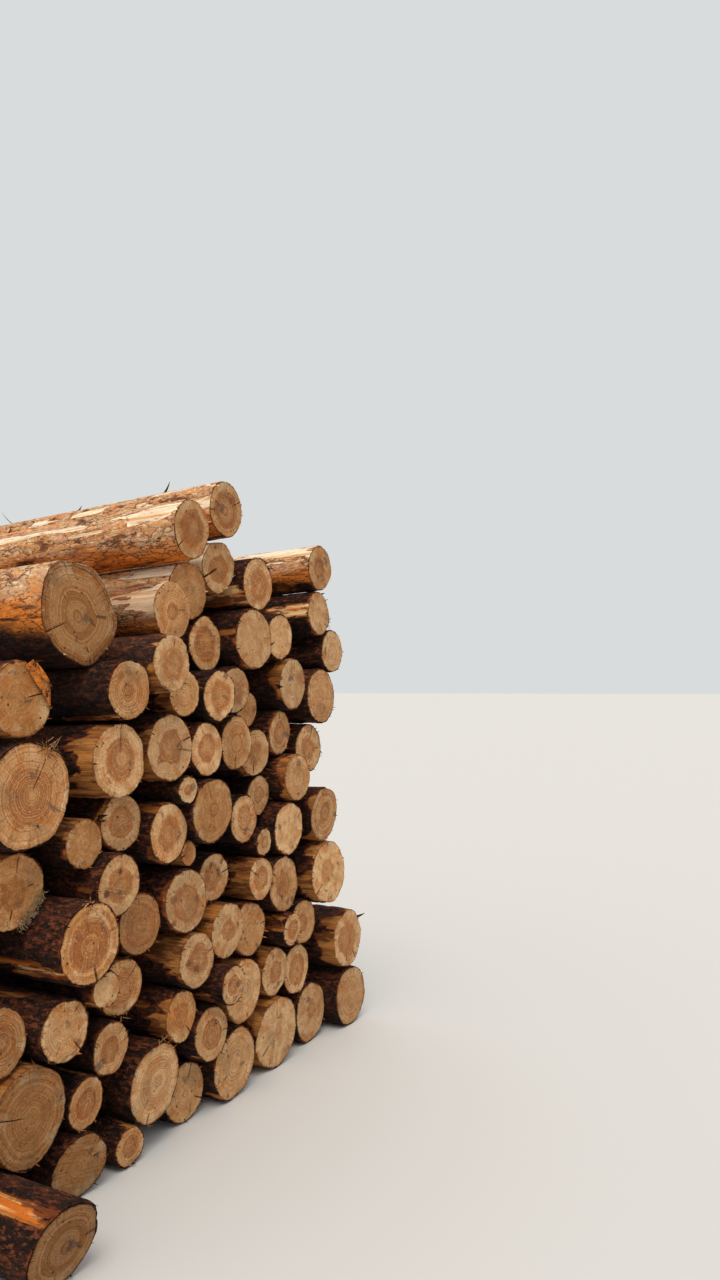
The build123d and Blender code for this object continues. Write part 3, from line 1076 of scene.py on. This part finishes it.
# Angle of the place, angle of the strip, length and width
STRIPS = {
    ("course_07", 8): ((78, -58, 0.15, 0.034), (66, -45, 0.09, 0.02), (56, -96, 0.06, 0.02)),
    ("course_05", 1): ((100, -80, 0.03, 0.01),),
}
# Low logs whose bark is seen from close by
NEAR = {("course_01_ground", 7), ("course_04", 5), ("course_02", 4), ("course_01_ground", 6)}


# Building

def choose_detail(log):
    if log.open > 0.05 and (log.height > 1.75 or log.key in NEAR):
        return CLOSE_BY
    return OUTSIDE if log.open > 0.02 else HIDDEN


for log in every_log:
    give_look(log)
    log.detail = choose_detail(log)

sawn = sawn_material()
bark = bark_material()
for name, logs in courses.items():
    skins, discs = Mesh(), Mesh()
    for log in logs:
        add_bark(log, skins)
        for twig in TWIGS.get(log.key, ()):
            add_twig(skins, log, *twig)
        for strip in STRIPS.get(log.key, ()):
            add_strip(skins, log, *strip)
        if log.key in LITTER:
            add_litter(skins, log, *LITTER[log.key])
        add_end(log, discs, 0)
        add_end(log, discs, 1)
    piece = skins.build(f"{name}_bark", bark, 60)
    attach(piece, "root")
    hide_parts(name)
    piece = discs.build(f"{name}_sawn_ends", sawn, 35)
    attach(piece, "root")


# Floor, light and camera

def make_floor():
    size = 400
    corners = [(-size, -size, 0), (size, -size, 0), (size, size, 0), (-size, size, 0)]
    mesh = bpy.data.meshes.new("floor")
    mesh.from_pydata(corners, [], [(0, 1, 2, 3)])
    floor = bpy.data.objects.new("floor", mesh)
    bpy.context.scene.collection.objects.link(floor)
    s = Shader("floor", 0.9)
    s.surface.inputs["Base Color"].default_value = paint("d2d0cc")
    mesh.materials.append(s.material)


def make_light():
    """A pale sky that is seen, a white one that lights, and a soft, warm key light."""
    world = bpy.data.worlds.new("studio")
    bpy.context.scene.world = world
    world.use_nodes = True
    nodes, links = world.node_tree.nodes, world.node_tree.links
    seen, lit = nodes["Background"], nodes.new("ShaderNodeBackground")
    for node, colour, strength in ((seen, paint("d9dcdc"), 1.0), (lit, (1, 1, 1, 1), 0.8)):
        node.inputs["Color"].default_value = colour
        node.inputs["Strength"].default_value = strength
    path, mix = nodes.new("ShaderNodeLightPath"), nodes.new("ShaderNodeMixShader")
    links.new(path.outputs["Is Camera Ray"], mix.inputs[0])
    links.new(lit.outputs[0], mix.inputs[1])
    links.new(seen.outputs[0], mix.inputs[2])
    links.new(mix.outputs[0], nodes["World Output"].inputs["Surface"])
    sun = bpy.data.lights.new("key", "SUN")
    sun.energy = 1.6
    sun.angle = math.radians(35)
    sun.color = (1, 0.95, 0.88)
    put_in_scene("key", sun, (0, 0, 0), Vector((-0.5, -0.25, 1)).to_track_quat("Z", "Y"))


def make_camera():
    """The photograph was taken level, from the left of the stack's face."""
    data = bpy.data.cameras.new("camera")
    data.sensor_fit = "VERTICAL"
    data.sensor_height = 36
    data.lens = 26.6
    data.shift_y = 0.039
    data.clip_end = 1000
    ahead = Vector((0.882, 0.471, 0))
    camera = put_in_scene("camera", data, (-2.793, -3.564, 1.6), ahead.to_track_quat("-Z", "Y"))
    bpy.context.scene.camera = camera


def put_in_scene(name, data, location, rotation):
    """Puts a lamp or camera into the scene."""
    made = bpy.data.objects.new(name, data)
    made.location = location
    made.rotation_mode = "QUATERNION"
    made.rotation_quaternion = rotation
    bpy.context.scene.collection.objects.link(made)
    return made


make_floor()
make_light()
make_camera()
bpy.context.scene.view_settings.view_transform = "Standard"
